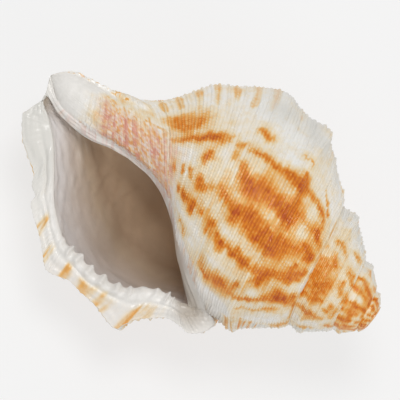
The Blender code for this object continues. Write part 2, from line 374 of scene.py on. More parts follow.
def plate(places, angles):
    """1 on the smooth white plate beside the opening and at the tip, 0 where the cords show."""
    return ease((places[:, None] - read_off(PLATE_EDGE, angles)[None, :]) / 0.035)


def relief(points, places, angles, cords):
    """Height of the relief in millimetres, and how much each point is on a cord, and on a bead.

    A cord is a squared cosine of its number, a bead the same of the angle. Their height is a share of the
    space between two cords, times the strength of that cord, and goes out on the plate and at the seam.
    Growth lines and broad swells are random fields, and a bell of the angle raises the rim of the plate."""
    size = size_at(angles)[None, :]
    wander = cords[:, None] + 0.16 * random_field(11, cords * 0.25, angles / 7.0)
    number = np.round(wander)
    ridge = np.cos(np.pi * (wander - number)) ** 2
    strength = np.select([number % 4 == 0, number % 2 == 0], [STRONG_CORD, MIDDLE_CORD], FINE_CORD)
    strength = strength * (1 + 0.45 * random_field(12, cords * 0.7, angles / 9.0))
    coarse = ease((SPIRE_RELIEF_FROM - angles) / 60)[None, :]
    strength = strength + coarse * (np.where(number % 2 == 0, 2.0, 0.35) - strength)
    offset = own_share(5, number)
    close_beads = np.cos(np.pi * (angles[None, :] / BEAD_SPACING + offset)) ** 2
    far_beads = np.cos(np.pi * (angles[None, :] / (2 * BEAD_SPACING) + offset)) ** 2
    bead = ridge * (close_beads + coarse * (far_beads - close_beads))
    spacing = np.linalg.norm(np.gradient(points, axis=0), axis=-1) / np.gradient(cords)[:, None]
    off_seam, off_pillar = ease(places / 0.02)[:, None], ease((1.2 - places) / 0.06)[:, None]
    fade = ease(spacing / 0.45 - 0.3) * (1 - plate(places, angles)) * off_seam
    fade = fade * ease((1.235 - places) / 0.03)[:, None]
    edge = 1 - 0.6 * ease(1 + angles / 6.0)[None, :]
    height = CORD_HEIGHT * spacing * strength * fade * edge * (ridge - 0.35 + 0.55 * bead)
    lines = random_field(21, cords * 0.03, angles / 0.9) + 0.6 * random_field(22, cords * 0.05, angles / 2.3)
    height = height + GROWTH_LINE_HEIGHT * size * lines * off_seam
    broad = random_field(31, cords / 9.0, angles / 17.0) + 0.5 * random_field(32, cords / 4.0, angles / 7.0)
    height = height + BROAD_HEIGHT * size * broad * ease(places / 0.05)[:, None] * off_pillar
    rim = bell(angles, RIM_ANGLE, 5.0)[None, :] * ease((places - 1.0) / 0.03)[:, None]
    rim = rim * (1 + 0.6 * random_field(33, cords * 0.7, angles / 5.0))
    height = height + RIM_HEIGHT * rim * ease((1.23 - places) / 0.05)[:, None]
    return height, ridge * fade, bead * fade


# Colours

# The marks on the side that shows, each a line of (angle, place in hundredths, half width in tenths of a
# millimetre, depth of colour in hundredths)
MARKS = (
    ((-212, 96, 11, 45), (-212, 94, 16, 60), (-210, 91, 19, 65), (-209, 89, 16, 75), (-208, 86, 14, 75)),
    ((-218, 93, 14, 45), (-220, 89, 14, 45), (-218, 86, 8, 50)),
    ((-236, 95, 8, 45), (-233, 89, 8, 75), (-233, 85, 9, 78), (-230, 82, 8, 80), (-228, 78, 8, 85),
     (-226, 77, 4, 40)),
    ((-231, 77, 8, 35), (-229, 75, 8, 45), (-226, 74, 5, 30)),
    ((-216, 67, 5, 50), (-217, 65, 8, 70), (-219, 63, 8, 80), (-218, 61, 6, 50)),
    ((-216, 43, 4, 35), (-216, 37, 4, 42)),
    ((-232, 71, 7, 40), (-228, 69, 5, 42)),
    ((-232, 67, 8, 45), (-232, 65, 9, 62), (-231, 61, 9, 70), (-232, 57, 9, 62), (-233, 54, 9, 75),
     (-232, 51, 8, 58), (-232, 47, 12, 80), (-233, 42, 14, 80), (-234, 37, 16, 88), (-227, 35, 11, 65),
     (-224, 36, 8, 55)),
    ((-235, 36, 11, 70), (-231, 31, 8, 50), (-229, 24, 8, 60), (-229, 19, 9, 70), (-230, 16, 11, 78),
     (-233, 13, 8, 60), (-237, 12, 8, 55), (-244, 13, 11, 75), (-247, 11, 8, 80)),
    ((-216, 19, 3, 45), (-221, 15, 4, 50), (-226, 12, 4, 60)),
    ((-250, 81, 8, 60), (-244, 80, 11, 82), (-242, 79, 8, 70)),
    ((-238, 71, 7, 45), (-241, 71, 5, 40)),
    ((-242, 68, 8, 55), (-246, 66, 11, 50)),
    ((-267, 94, 5, 60), (-272, 93, 5, 40)),
    ((-262, 89, 5, 65), (-267, 88, 5, 60)),
    ((-262, 85, 7, 70), (-266, 84, 7, 50)),
    ((-264, 80, 12, 80), (-268, 79, 12, 85)),
    ((-268, 77, 8, 45), (-264, 74, 8, 50)),
    ((-250, 65, 11, 80), (-250, 63, 16, 92), (-251, 60, 19, 85), (-248, 56, 19, 78), (-249, 52, 22, 82),
     (-249, 47, 22, 85), (-251, 42, 19, 85), (-253, 37, 19, 92), (-252, 32, 16, 95), (-256, 31, 11, 80)),
    ((-254, 63, 11, 65), (-254, 56, 11, 60)),
    ((-248, 38, 11, 70), (-242, 33, 11, 68)),
    ((-248, 32, 11, 75), (-245, 27, 11, 60), (-246, 21, 8, 55), (-246, 17, 12, 65)),
    ((-284, 89, 6, 70), (-287, 88, 6, 70)),
    ((-284, 85, 9, 85), (-284, 82, 9, 70)),
    ((-283, 79, 9, 85), (-288, 79, 8, 80)),
    ((-285, 75, 7, 50), (-283, 74, 8, 72)),
    ((-286, 71, 7, 50), (-284, 69, 11, 85), (-288, 69, 11, 65)),
    ((-262, 71, 8, 50), (-264, 69, 11, 75), (-266, 68, 9, 65)),
    ((-266, 66, 7, 55), (-268, 64, 11, 80), (-268, 62, 16, 95), (-272, 62, 14, 80)),
    ((-265, 59, 11, 70), (-265, 55, 19, 85), (-267, 52, 19, 95), (-268, 48, 19, 92), (-270, 44, 19, 92),
     (-272, 40, 19, 82), (-274, 35, 18, 90), (-276, 31, 11, 82)),
    ((-271, 53, 16, 70), (-272, 48, 16, 72)),
    ((-266, 42, 11, 80), (-268, 36, 14, 75), (-270, 30, 16, 85)),
    ((-267, 26, 16, 62), (-265, 21, 16, 65), (-262, 16, 16, 72), (-258, 14, 14, 82), (-260, 10, 11, 95),
     (-264, 12, 11, 75)),
    ((-266, 35, 8, 55), (-264, 29, 8, 58)),
    ((-305, 80, 4, 45), (-312, 79, 5, 60)),
    ((-305, 83, 4, 40),),
    ((-286, 65, 7, 72), (-290, 65, 5, 50)),
    ((-289, 62, 11, 90), (-293, 62, 9, 68)),
    ((-288, 58, 8, 50), (-288, 55, 8, 60)),
    ((-290, 53, 11, 90), (-287, 51, 11, 72), (-289, 48, 14, 80), (-290, 44, 14, 85), (-290, 40, 11, 62),
     (-289, 35, 12, 66), (-290, 30, 14, 92), (-295, 30, 14, 85), (-299, 30, 9, 68)),
    ((-288, 26, 14, 65), (-286, 20, 14, 72), (-284, 14, 15, 88), (-279, 11, 14, 82), (-273, 8, 9, 75)),
    ((-278, 16, 7, 60), (-274, 14, 7, 72)),
    ((-625, 54, 5, 80), (-633, 54, 6, 80), (-641, 53, 6, 78), (-648, 53, 5, 60)),
    ((-261, 9, 8, 80),),
    ((-620, 54, 8, 85),),
    ((-315, 65, 5, 60), (-317, 62, 6, 72)),
    ((-311, 54, 7, 68), (-313, 51, 6, 50)),
    ((-316, 58, 11, 40), (-310, 49, 11, 42), (-315, 45, 11, 42)),
    ((-310, 44, 6, 60), (-305, 43, 6, 55)),
    ((-316, 42, 6, 50), (-313, 36, 8, 62), (-314, 30, 8, 80), (-310, 24, 8, 60), (-307, 20, 11, 70),
     (-305, 15, 12, 92), (-304, 11, 11, 90)),
    ((-299, 16, 11, 75), (-301, 10, 7, 50)),
    ((-324, 34, 7, 35), (-324, 26, 5, 30), (-318, 17, 8, 55), (-316, 12, 7, 45)),
    ((-652, 51, 10, 98), (-650, 48, 6, 90)),
    ((-297, 7, 7, 60), (-309, 3, 7, 55)),
    ((-668, 47, 7, 65), (-668, 40, 8, 80), (-671, 32, 9, 80), (-673, 27, 5, 60)),
    ((-652, 42, 8, 55), (-651, 34, 9, 75), (-650, 26, 7, 60)),
    ((-645, 39, 7, 60), (-641, 44, 8, 75), (-636, 45, 8, 70)),
    ((-636, 40, 8, 70), (-634, 34, 14, 85), (-628, 28, 11, 82)),
    ((-641, 39, 8, 60), (-639, 30, 8, 62)),
    ((-631, 48, 9, 68), (-628, 41, 11, 58), (-623, 38, 8, 55)),
    ((-624, 47, 9, 85), (-619, 44, 9, 72)),
    ((-615, 39, 11, 65), (-609, 34, 12, 85), (-605, 38, 9, 70)),
    ((-614, 52, 8, 60), (-612, 46, 8, 60)),
    ((-248, 7, 7, 45),),
    ((-600, 50, 8, 42),),
    ((-590, 42, 7, 62), (-588, 34, 7, 60), (-591, 29, 5, 50)),
    ((-244, 13, 8, 75), (-247, 11, 7, 78)),
    ((-681, 34, 7, 40), (-676, 23, 8, 55), (-674, 17, 7, 55)),
    ((-659, 20, 5, 50), (-659, 15, 7, 80), (-650, 14, 7, 70)),
    ((-669, 10, 6, 55), (-656, 7, 7, 55)),
    ((-624, 16, 7, 60), (-630, 13, 8, 68)),
    ((-618, 15, 6, 74), (-613, 14, 5, 50)),
    ((-630, 4, 8, 75), (-639, 5, 6, 60)),
    ((-602, 15, 8, 70), (-605, 10, 6, 62), (-610, 3, 6, 68)),
    ((-598, 9, 5, 62),),
    ((-964, 48, 5, 50),),
    ((-1026, 46, 8, 60), (-1022, 33, 6, 62), (-1010, 27, 7, 68)),
    ((-999, 36, 7, 45), (-989, 22, 6, 42)),
    ((-578, 19, 5, 62), (-578, 14, 8, 55), (-568, 9, 7, 60)),
    ((-951, 26, 6, 70), (-952, 19, 5, 60)),
    ((-956, 8, 4, 62),),
    ((-1330, 32, 4, 60),),
    ((-1374, 49, 5, 55),),
    ((-990, 4, 4, 50),),
    ((-552, 52, 7, 38), (-554, 49, 5, 40)),
    ((-354, 3, 8, 70),),
    ((-311, 65.5, 13, 42), (-313, 58, 15, 46), (-317, 50, 12, 40)),
    ((-330.5, 47.5, 3, 75),),
    ((-717, 47, 7, 55),),
    ((-709, 35, 9, 55), (-706, 25, 8, 50)),
    ((-691, 10, 6, 72), (-702, 3, 5, 55)),
)
LOOSE_SPACING = 19.0
LOOSE_SPLIT = 0.72
SEEN_SPANS = ((-346, -197), (-722, -548))


def loose_marks():
    """More marks of the same kind for the turns and sides that don't show: a broken line every few degrees,
    shorter and thinner past the split."""
    random = np.random.default_rng(77)
    marks = []
    for angle in np.arange(-1440, 0, LOOSE_SPACING):
        centre = angle + random.uniform(-4, 4)
        size = size_at(centre)
        line = []
        for place in np.arange(0.06, 0.98, 0.055):
            centre += random.uniform(-2.5, 2.2)
            inside = any(low < centre < high for low, high in SEEN_SPANS)
            if inside or random.random() > (0.80 if place < LOOSE_SPLIT else 0.60):
                if line:
                    marks.append(line)
                line = []
                continue
            wide = size * (random.uniform(1.3, 3.2) if place < LOOSE_SPLIT else random.uniform(0.9, 1.7))
            line.append((centre, place, wide, random.uniform(0.6, 0.95)))
            if place > LOOSE_SPLIT and random.random() < 0.5:
                marks.append(line)
                line = []
        if line:
            marks.append(line)
    return marks


MARK_UNITS = (1, 100, 10, 100)
ALL_MARKS = [np.array(line) / MARK_UNITS for line in MARKS] + [np.array(line) for line in loose_marks()]
# Stripes across the worn ridge one turn before the lip: place, width, first and last angle
OLD_STRIPES = (
    (0.415, 0.020, -373, -343), (0.372, 0.010, -364, -346), (0.308, 0.017, -370, -339),
    (0.277, 0.008, -359, -345), (0.238, 0.012, -366, -342), (0.198, 0.008, -361, -348),
)
# Patches without tan: angle, place, how wide and how tall
WHITE_PATCHES = (
    (-260, 0.66, 4, 0.05), (-261, 0.53, 4, 0.07), (-263, 0.37, 4, 0.07), (-255, 0.19, 9, 0.06),
    (-281, 0.67, 5, 0.05), (-280, 0.53, 4, 0.07), (-280, 0.36, 4, 0.07), (-268, 0.13, 6, 0.05),
    (-307, 0.31, 4, 0.05), (-218, 0.13, 9, 0.10), (-297, 0.80, 5, 0.10), (-240, 0.78, 4, 0.06),
    (-210, 0.55, 10, 0.25), (-222, 0.50, 4, 0.20), (-238, 0.90, 3, 0.05), (-303, 0.55, 3, 0.12),
)
STRIPE_SPACING = 4.6
# The pale band at the end of the seam, which starts at the first edge and ends at the far one: place, angle
PALE_EDGE = (
    (0.38, -334), (0.47, -330), (0.65, -327), (0.72, -323), (0.82, -319), (1.0, -323), (1.08, -326),
    (1.14, -328),
)
PALE_FAR_EDGE = ((0.36, -344), (0.46, -352), (0.55, -378))


def painted(field, angles, cords, line, warp):
    """Lays one mark on the field: two bells, a narrow and a wide one, of the distance to its line, in
    millimetres on the surface."""
    angle, place = line[:, 0].mean(), line[:, 1].mean()
    size = size_at(angle)
    over = math.radians(1) * size * np.interp(place, *np.array(PLAIN_WALL)[:, :2].T)
    down = CORD_SPACING * size
    xs, ys = line[:, 0] * over, np.interp(line[:, 1], ALL_PLACES, ALL_CORDS) * down
    reach = 6.0 * line[:, 2].max()
    left, right = np.searchsorted(angles * over, (xs.min() - reach, xs.max() + reach))
    top, bottom = np.searchsorted(cords * down, (ys.min() - reach, ys.max() + reach))
    if left >= right or top >= bottom:
        return
    part = (slice(top, bottom), slice(left, right))
    x = angles[None, left:right] * over + warp[0][part] * size
    y = cords[top:bottom, None] * down + warp[1][part] * size
    if len(line) == 1:
        line, xs, ys = np.repeat(line, 2, axis=0), np.repeat(xs, 2), np.repeat(ys, 2)
    mark = np.zeros(x.shape)
    for i in range(len(line) - 1):
        dx, dy = xs[i + 1] - xs[i], ys[i + 1] - ys[i]
        along = np.clip(((x - xs[i]) * dx + (y - ys[i]) * dy) / (dx * dx + dy * dy + 1e-9), 0, 1)
        far = (x - xs[i] - along * dx) ** 2 + (y - ys[i] - along * dy) ** 2
        wide = line[i, 2] + along * (line[i + 1, 2] - line[i, 2])
        depth = line[i, 3] + along * (line[i + 1, 3] - line[i, 3])
        narrow = 0.72 * np.exp(-far / (1.35 * wide) ** 2)
        mark = np.maximum(mark, depth * (narrow + 0.34 * np.exp(-far / (2.3 * wide + 0.7 * size) ** 2)))
    field[part] = 1 - (1 - field[part]) * (1 - mark)


def flame_field(places, angles, cords):
    """Depth of the orange: the marks, frayed by a warp, on a pale tan that comes and goes, and goes out in
    the white patches."""
    warp = []
    for seed in (41, 45):
        coarse = random_field(seed, cords / 1.6, angles / 3.0)
        warp.append(0.45 * coarse + 0.30 * random_field(seed + 1, cords / 0.8, angles / 1.3))
    warp[0] = warp[0] + 0.6 * random_field(66, cords, np.zeros(1))
    flame = np.zeros((len(places), len(angles)))
    for line in ALL_MARKS:
        painted(flame, angles, cords, line, warp)
    spread = random_field(43, cords / 7.0, angles / 16.0) + 0.6 * random_field(44, cords / 2.5, angles / 5.0)
    tan = 0.15 + 0.14 * spread
    for angle, place, wide, tall in WHITE_PATCHES:
        patch = bell(angles, angle, wide)[None, :] * bell(places, place, tall)[:, None]
        tan = tan * (1 - 0.85 * patch)
    broken = 1 + 0.16 * random_field(47, cords / 1.2, angles / 2.0)
    return flame * broken + tan * (1 - flame)


def old_stripes(p, a):
    """The stripes across the worn ridge: each a bell of the place, eased in and out over its angles."""
    old = np.zeros(np.broadcast(p, a).shape)
    for place, wide, first, last in OLD_STRIPES:
        stripe = bell(p, place, wide) * ease((a - first + 5) / 12) * ease((last + 3 - a) / 8)
        old = np.maximum(old, stripe)
    return old


def outer_colours(places, angles, cords, ridge, bead):
    """The colour shares of the outer wall."""
    p, a = places[:, None], angles[None, :]
    nothing = np.zeros((len(places), len(angles)))
    own = own_share(8, np.round(cords))[:, None] - 0.5
    smooth, old = plate(places, angles), old_stripes(p, a)
    # How far each point is on a varix, with a ragged edge, and the stripes across it
    swell, wall = nothing.copy(), places <= 1.0
    swell[wall] = swelling(places[wall], a + 7.0 * random_field(57, cords / 2.5, angles / 8.0)[wall])
    drift = random_field(51, cords / 6.0, angles / 60.0).mean(axis=1)
    stripes = 0.5 + 0.5 * np.cos(2 * np.pi * cords / STRIPE_SPACING + 1.5 * drift)
    stripes = stripes[:, None] * (1.1 + 0.45 * random_field(55, cords / STRIPE_SPACING, angles / 6.0))
    stripes = stripes * ease((swell - 0.2) / 0.6) * (0.7 + 0.3 * ease((p - 0.6) / 0.1))
    # The flames, with the orange apex, a depth of each cord's own, the stripes, and pale flecks on the beads
    # and cord tops, partly their own paler colour and partly painted highlight
    flame = flame_field(places, angles, cords) * (1 - 0.75 * ease(swell / 0.8)) * (1 - 0.9 * smooth)
    apex = ease((-1300 - a) / 200) * (0.30 + 0.25 * random_field(56, cords / 1.5, angles / 14.0))
    flame = flame * (1 - 0.15 * ease((-360 - a) / 30)) + apex
    flame = flame + flame * (1 - flame) * 0.7 * own
    flame = np.maximum(flame, 0.40 * ease(stripes * 1.5 - 0.45) * (p < 1.0))
    flame = np.maximum(flame, 0.65 * old * (0.85 + 0.4 * random_field(69, cords, angles / 3.0)))
    # Paler beads and cord tops: partly their own colour, partly painted highlight
    flecks = 0.55 + 0.45 * random_field(52, cords / 1.7, angles / 4.0)
    flame = flame - 0.22 * ease(flame / 0.5) * bead * flecks - 0.12 * ridge * flame
    patchy = ease(0.5 + 1.1 * random_field(71, cords / 3.0, angles / 7.0))
    flame = np.maximum(flame, 0.46 * ease((0.055 - p) / 0.04) * patchy * (1 - ease(swell / 0.6)))
    # The streaked area beside the opening, and spots along the rim of the plate
    beside = ease((1.17 - p) / 0.05)
    pink = ease((p - 0.86) / 0.14) * beside * ease((a + 348) / 24) * ease((-215 - a) / 40)
    pink = pink * (0.95 + 1.3 * own) * (0.75 + 0.45 * random_field(53, cords / 1.5, angles / 8.0))
    pink = pink * (1 + 0.55 * random_field(58, cords * 1.3, angles / 2.2))
    streak = 0.42 * ease((p - 0.90) / 0.12) * beside * ease((a + 345) / 24) * ease((-205 - a) / 20)
    flame = np.maximum(flame, streak * (0.55 + 0.75 * random_field(60, cords * 1.1, angles / 4.0)))
    rim = bell(a, -197, 6.0) * ease((p - 1.04) / 0.03)
    flame = np.maximum(flame, 0.5 * rim * ease((random_field(59, cords * 0.9, angles / 2.5) - 0.25) / 0.3))
    # The pale band, streaked with pink further down, the grey, and painted shade, dark brown, where the wall
    # meets the back canal
    edge, far_edge = read_off(PALE_EDGE, places)[:, None], read_off(PALE_FAR_EDGE, places)[:, None]
    pale = ease(1 - (a - edge) / 6.0) * ease((p - 0.36) / 0.05) * ease((a - far_edge) / 12)
    streaky = np.clip(0.42 + 1.2 * own + 0.40 * random_field(70, cords / 1.2, angles / 6.0), 0, 1)
    streaky = ease((p - 0.50) / 0.12) * streaky
    grey = (0.62 + 0.5 * random_field(54, cords / 3.0, angles / 9.0)) * ease((swell - 0.1) / 0.6)
    grey = grey * ease((p - 0.05) / 0.1) * ease((0.75 - p) / 0.1) * (1 - 0.85 * old)
    return {
        "orange": flame,
        "pink": np.maximum(pink, 0.55 * pale * streaky),
        "white": np.maximum(smooth * (1 - 0.6 * rim), pale * (1 - 0.75 * streaky)),
        "grey": grey,
        "shade": nothing,
        "depth": nothing,
        # Painted shade: dark brown where the wall meets the back canal
        "stain": 0.42 * bell(a, -358, 7.0) * ease((p - 0.40) / 0.06) * ease((0.66 - p) / 0.10),
    }


# The outer wall


def outer_wall(angles, rows):
    """A stretch of the outer wall with its relief: points, normals and colours. Its first rows sink a little,
    so that they lie under the skin of the turn before."""
    places, cords = ROW_PLACES[:rows], ROW_CORDS[:rows]
    points = wall_surface(places, angles)
    height, ridge, bead = relief(points, places, angles, cords)
    height = height - SEAM_SINK * size_at(angles)[None, :] * ease(1 - places / 0.010)[:, None]
    points = points + facing(points) * height[..., None]
    return points, facing(points), outer_colours(places, angles, cords, ridge, bead)


def cut_pieces(names, points, normals, colours):
    """Makes the grid into pieces side by side, which share the column where they meet."""
    ends = np.linspace(0, points.shape[1] - 1, len(names) + 1).round().astype(int)
    pieces = []
    for name, start, end in zip(names, ends[:-1], ends[1:]):
        span = slice(start, end + 1)
        shares = {label: values[:, span] for label, values in colours.items()}
        pieces.append(grid_mesh(name, points[:, span], normals[:, span], shares))
    return pieces


# The lip and the lining

# Where round the opening each place of the wall's edge, and of the pillar, lies, and the reach of the latter
LIP_MATCH = (
    (0.00, 0.0), (0.03, 0.08), (0.05, 0.20), (0.10, 0.31), (0.15, 0.38), (0.20, 0.43), (0.25, 0.47),
    (0.30, 0.51), (0.35, 0.55), (0.40, 0.60), (0.45, 0.67), (0.50, 0.76), (0.55, 0.88), (0.60, 0.97),
    (0.65, 1.14), (0.67, 1.25),
)
PILLAR_MATCH = (
    (0.67, 1.25), (0.68, 1.22), (0.70, 1.20), (0.74, 1.18), (0.78, 1.16), (0.82, 1.125), (0.86, 1.10),
    (0.89, 1.075), (0.92, 1.01), (0.945, 0.93), (0.97, 0.82), (0.985, 0.70), (1.00, 0.55),
)
PILLAR_REACH = (
    (0.67, 0), (0.69, 26), (0.72, 34), (0.86, 34), (0.92, 36), (0.96, 36), (0.985, 24), (1.0, 0),
)
INNER_ROWS = 190
FACE_COLUMNS = 56
DEEP_COLUMNS = 84
LINING_END = -330.0
DEGREES_PER_TRAVEL = 6.0
OPENING_BLEND = 45.0
# Stripes across the lip: place, width, strength
FACE_STRIPES = (
    (0.75, 0.009, 0.8), (0.68, 0.010, 0.8), (0.60, 0.012, 0.9), (0.53, 0.022, 1.0), (0.465, 0.018, 1.0),
    (0.348, 0.024, 1.0), (0.295, 0.016, 0.6), (0.250, 0.012, 0.40),
)
# Height of the crest round the opening in millimetres
CREST = (
    (0.00, 0.2), (0.04, 1.2), (0.10, 1.6), (0.40, 1.5), (0.46, 0.9), (0.60, 0.6), (0.66, 0.3), (0.72, 0.5),
    (1.0, 0.2),
)
TOOTH_SPACING = 2.3
WRINKLE_HEIGHT = 0.26
RIB_HEIGHT = 0.18
GROOVE_DEPTH = 0.45


def lining():
    """The rows of the lip and the lining, one closed loop: where each lies round the opening, how many of
    them follow the outer wall's last edge, the place of each on the wall, and by how many degrees of growth
    past the start of the last turn the others begin, on the pillar."""
    lip = np.array(LIP_MATCH)
    around_lip = np.interp(ROW_PLACES, lip[:, 1], lip[:, 0])
    around_back = np.linspace(0.67, 1.0, INNER_ROWS + 2)[1:-1]
    outer = len(around_lip)
    places = np.concatenate([ROW_PLACES, read_off(PILLAR_MATCH, around_back)])
    reach = np.concatenate([np.zeros(outer), read_off(PILLAR_REACH, around_back)])
    return np.concatenate([around_lip, around_back]), outer, places, reach


def section(around, angles):
    """Sections of the hollow at these angles: the opening's outline blended into the inner one, shrunk."""
    opening, inside = table_line(OPENING, around)[:, None, :], table_line(INSIDE, around)[:, None, :]
    opened = ease(1 + np.minimum(angles, 0) / OPENING_BLEND)[None, :, None]
    return (inside + opened * (opening - inside)) * size_at(angles)[None, :, None]


def round_normals(points):
    """Unit normals of a grid whose rows run all the way round."""
    return facing(np.vstack([points[-2:], points, points[:2]]))[2:-2]


def lip_and_lining(edge_points):
    """Points, normals and colour shares of the lip and the lining; edge_points is the wall's last column.

    Travel goes from 0 at the wall's edge, straight over the face to 1 at the opening, and on inwards, along
    sections of the hollow that are turned back and shrink with the growth. Crest, teeth, ribs, wrinkles and
    the groove of the lip are heights along the normal."""
    around, outer, places, reach = lining()
    rows = len(around)
    outside, steps = np.arange(rows) < outer, np.arange(rows) / 30.0
    cords = np.concatenate([ROW_CORDS, np.interp(places[outer:], ALL_PLACES, ALL_CORDS)])
    inner = places[outer:][::-1]
    start = np.empty((rows, 2))
    start[:outer] = outline(ROW_PLACES, np.array([0.0]))[:, 0]
    start[outer:] = np.diagonal(outline(inner, reach[outer:] - 360)[::-1], axis1=0, axis2=1).T
    over = np.linspace(0, 1, FACE_COLUMNS)
    end = section(around, np.array([0.0]))
    flat = start[:, None] + (end - start[:, None]) * over[None, :, None]
    face = turned(flat, reach[:, None] * (1 - over[None, :]))
    deep_angles = LINING_END * np.linspace(0, 1, DEEP_COLUMNS + 1)[1:] ** 1.5
    deep = turned(section(around, deep_angles), deep_angles[None, :])
    points = np.concatenate([face, deep], axis=1)
    travel = np.concatenate([over, 1 - deep_angles / DEGREES_PER_TRAVEL])
    # The crest and its teeth
    height = read_off(CREST, around)[:, None] * (ease(travel / 0.92) * ease((1.7 - travel) / 0.8))
    uneven = random_field(63, cords / 3.1, np.zeros(1))[:, 0]
    wave = 0.5 + 0.5 * np.cos(2 * np.pi * cords / TOOTH_SPACING + 2.2 * uneven)
    teeth = wave**2 * (0.8 + 0.8 * uneven)
    on_lip = (outside * ease((0.47 - around) / 0.05) * ease((around - 0.03) / 0.07))[:, None]
    toothed = ease((travel - 0.68) / 0.25) * ease((1.5 - travel) / 0.5)
    height = height + on_lip * (teeth[:, None] - 0.3) * toothed
    # Ribs over the lip where the cords end, wrinkles, the groove, and the bend of the face beside the pillar
    ribs = outside * (0.3 + 0.7 * ease((0.80 - places) / 0.1)) * ease((1.1 - places) / 0.1)
    ribs = ribs * (np.cos(np.pi * (cords - np.round(cords))) ** 2 - 0.4)
    ribs = ribs * (1 + 0.9 * random_field(67, cords / 1.3, np.zeros(1))[:, 0])
    height = height + RIB_HEIGHT * ribs[:, None] * (ease(travel / 0.15) * ease((0.95 - travel) / 0.5))
    wrinkles = random_field(61, steps, travel * 3.0) + 0.7 * random_field(64, steps * 2.7, travel * 7.0)
    height = height + WRINKLE_HEIGHT * wrinkles * ease(travel / 0.2)
    grooved = (outside * ease((1.0 - places) / 0.1))[:, None]
    height = height - GROOVE_DEPTH * (bell(travel, 0.66, 0.10) * grooved)
    bent = ~outside[:, None] * (-0.2 * np.sin(np.pi * over) - 0.05)
    height[:, :FACE_COLUMNS] += bent * ease(reach / 20)[:, None]
    points = points + round_normals(points) * height[..., None]
    points[:outer, 0] = edge_points
    # The stripes across the lip, frayed, on a flange with a ragged inner edge
    stripe = np.zeros(rows)
    for place, width, strength in FACE_STRIPES:
        far = np.abs(places - place + 0.003 * uneven) / width
        stripe = np.maximum(stripe, strength * ease((2.1 - far) / 1.7) * outside)
    streaked = stripe[:, None] * np.clip(0.78 + 0.5 * random_field(68, cords * 1.6, travel * 1.5), 0.2, 1.15)
    ragged = 0.86 + 0.16 * random_field(62, steps * 3.0, travel)
    flange = (outside * ease((1.02 - places) / 0.12))[:, None] * ease((ragged - travel) / 0.40)
    flange = flange * ease((around - 0.04) / 0.06)[:, None]
    # The blush along the pillar, and painted shade, dark brown, in the canal's slit and in the back canal
    blush = ease((around - 0.67) / 0.05) * ease((0.995 - around) / 0.03)
    blush = (blush * (0.12 + 0.42 * own_share(65, np.round(1.6 * cords))))[:, None]
    blush = blush * ease((1.3 - travel) / 0.5)
    slit = (ease((around - 0.61) / 0.04) * ease((0.84 - around) / 0.10))[:, None]
    slit = slit * ease((travel - 1.02) / 0.6)
    corner = (ease((around - 0.925) / 0.05) + ease((0.075 - around) / 0.05))[:, None] * ease(travel + 0.25)
    shares = {
        "orange": (0.02 * ease((0.86 - places) / 0.12)[:, None] + 0.43 * streaked) * flange,
        "pink": 0.10 * on_lip * ease((0.70 - travel) / 0.35) + blush,
        "white": np.clip(1 - 1.2 * flange * (0.35 + 0.9 * np.minimum(streaked, 1)) - 2.2 * blush, 0, 1),
        "grey": np.zeros((rows, len(travel))),
        # Painted shade: the face of the lip greyed toward the canal
        "shade": (0.85 * outside * ease((around - 0.50) / 0.07))[:, None] * ease((1.6 - travel) / 0.6),
        "depth": np.clip((travel - 1.0) / 26.0, 0, 1) * np.ones((rows, 1)),
        # Painted shade: dark brown in the canal's slit and in the back canal
        "stain": 0.8 * (slit * ease((5.0 - travel) / 3.5)) + 0.62 * corner * ease((3.5 - travel) / 3.0),
    }
    return points, round_normals(points), shares


# Materials


class Signal:
    """A value on a shader's wire; arithmetic on it adds Math nodes."""

    def __init__(self, finish, socket):
        self.finish, self.socket = finish, socket

    def combine(self, operation, *values):
        return self.finish.node("ShaderNodeMath", {"operation": operation}, dict(enumerate(values)))

    def __add__(self, other):
        return self.combine("ADD", self, other)

    def __sub__(self, other):
        return self.combine("SUBTRACT", self, other)

    def __mul__(self, other):
        return self.combine("MULTIPLY", self, other)

    __radd__ = __add__
    __rmul__ = __mul__

    def between(self, low, high):
        """0 below low, 1 above high, smooth between them."""
        values = {0: self, 1: low, 2: high, 3: 0.0, 4: 1.0}
        return self.finish.node("ShaderNodeMapRange", {"interpolation_type": "SMOOTHSTEP"}, values)


class Finish:
    """A material being made."""

    def __init__(self, name):
        self.material = bpy.data.materials.new(name)
        self.material.use_nodes = True
        self.tree = self.material.node_tree
        self.surface = self.tree.nodes["Principled BSDF"]

    def node(self, kind, settings=None, values=None, output=0):
        """An output of a new node of this kind. Its settings are set first, a ramp's stops among them, and
        then the values or links of its sockets."""
        made = self.tree.nodes.new(kind)
        for key, value in (settings or {}).items():
            if key == "stops":
                self.set_stops(made.color_ramp.elements, value)
            else:
                setattr(made, key, value)
        self.put(made, values or {})
        return Signal(self, made.outputs[output])

    def set_stops(self, points, stops):
        """Gives a ramp these stops, each a position and a colour."""
        while len(points) < len(stops):
            points.new(0.5)
        for point, (position, colour) in zip(points, stops):
            point.position, point.color = position, colour

    def put(self, node, values):
        """Values or links for the sockets of a node."""
        for key, value in values.items():
            if isinstance(value, Signal):
                self.tree.links.new(value.socket, node.inputs[key])
            else:
                node.inputs[key].default_value = value

    def share(self, label):
        return self.node("ShaderNodeAttribute", {"attribute_name": label}, None, "Fac")

    def speckle(self, scale, detail):
        """Noise over the surface; the scale is the number of its cells in a metre."""
        place = self.node("ShaderNodeTexCoord", None, None, "Object")
        values = {"Vector": place, "Scale": scale, "Detail": detail, "Roughness": SPECKLE_ROUGHNESS}
        return self.node("ShaderNodeTexNoise", None, values, "Fac")

    def ramp(self, value, stops):
        """A colour read off between stops."""
        return self.node("ShaderNodeValToRGB", {"stops": stops}, {0: value})

    def colour(self, amount, low, high):
        """The low colour at an amount of 0, the high one at 1."""
        return self.node("ShaderNodeMix", {"data_type": "RGBA"}, {0: amount, 6: low, 7: high}, 2)


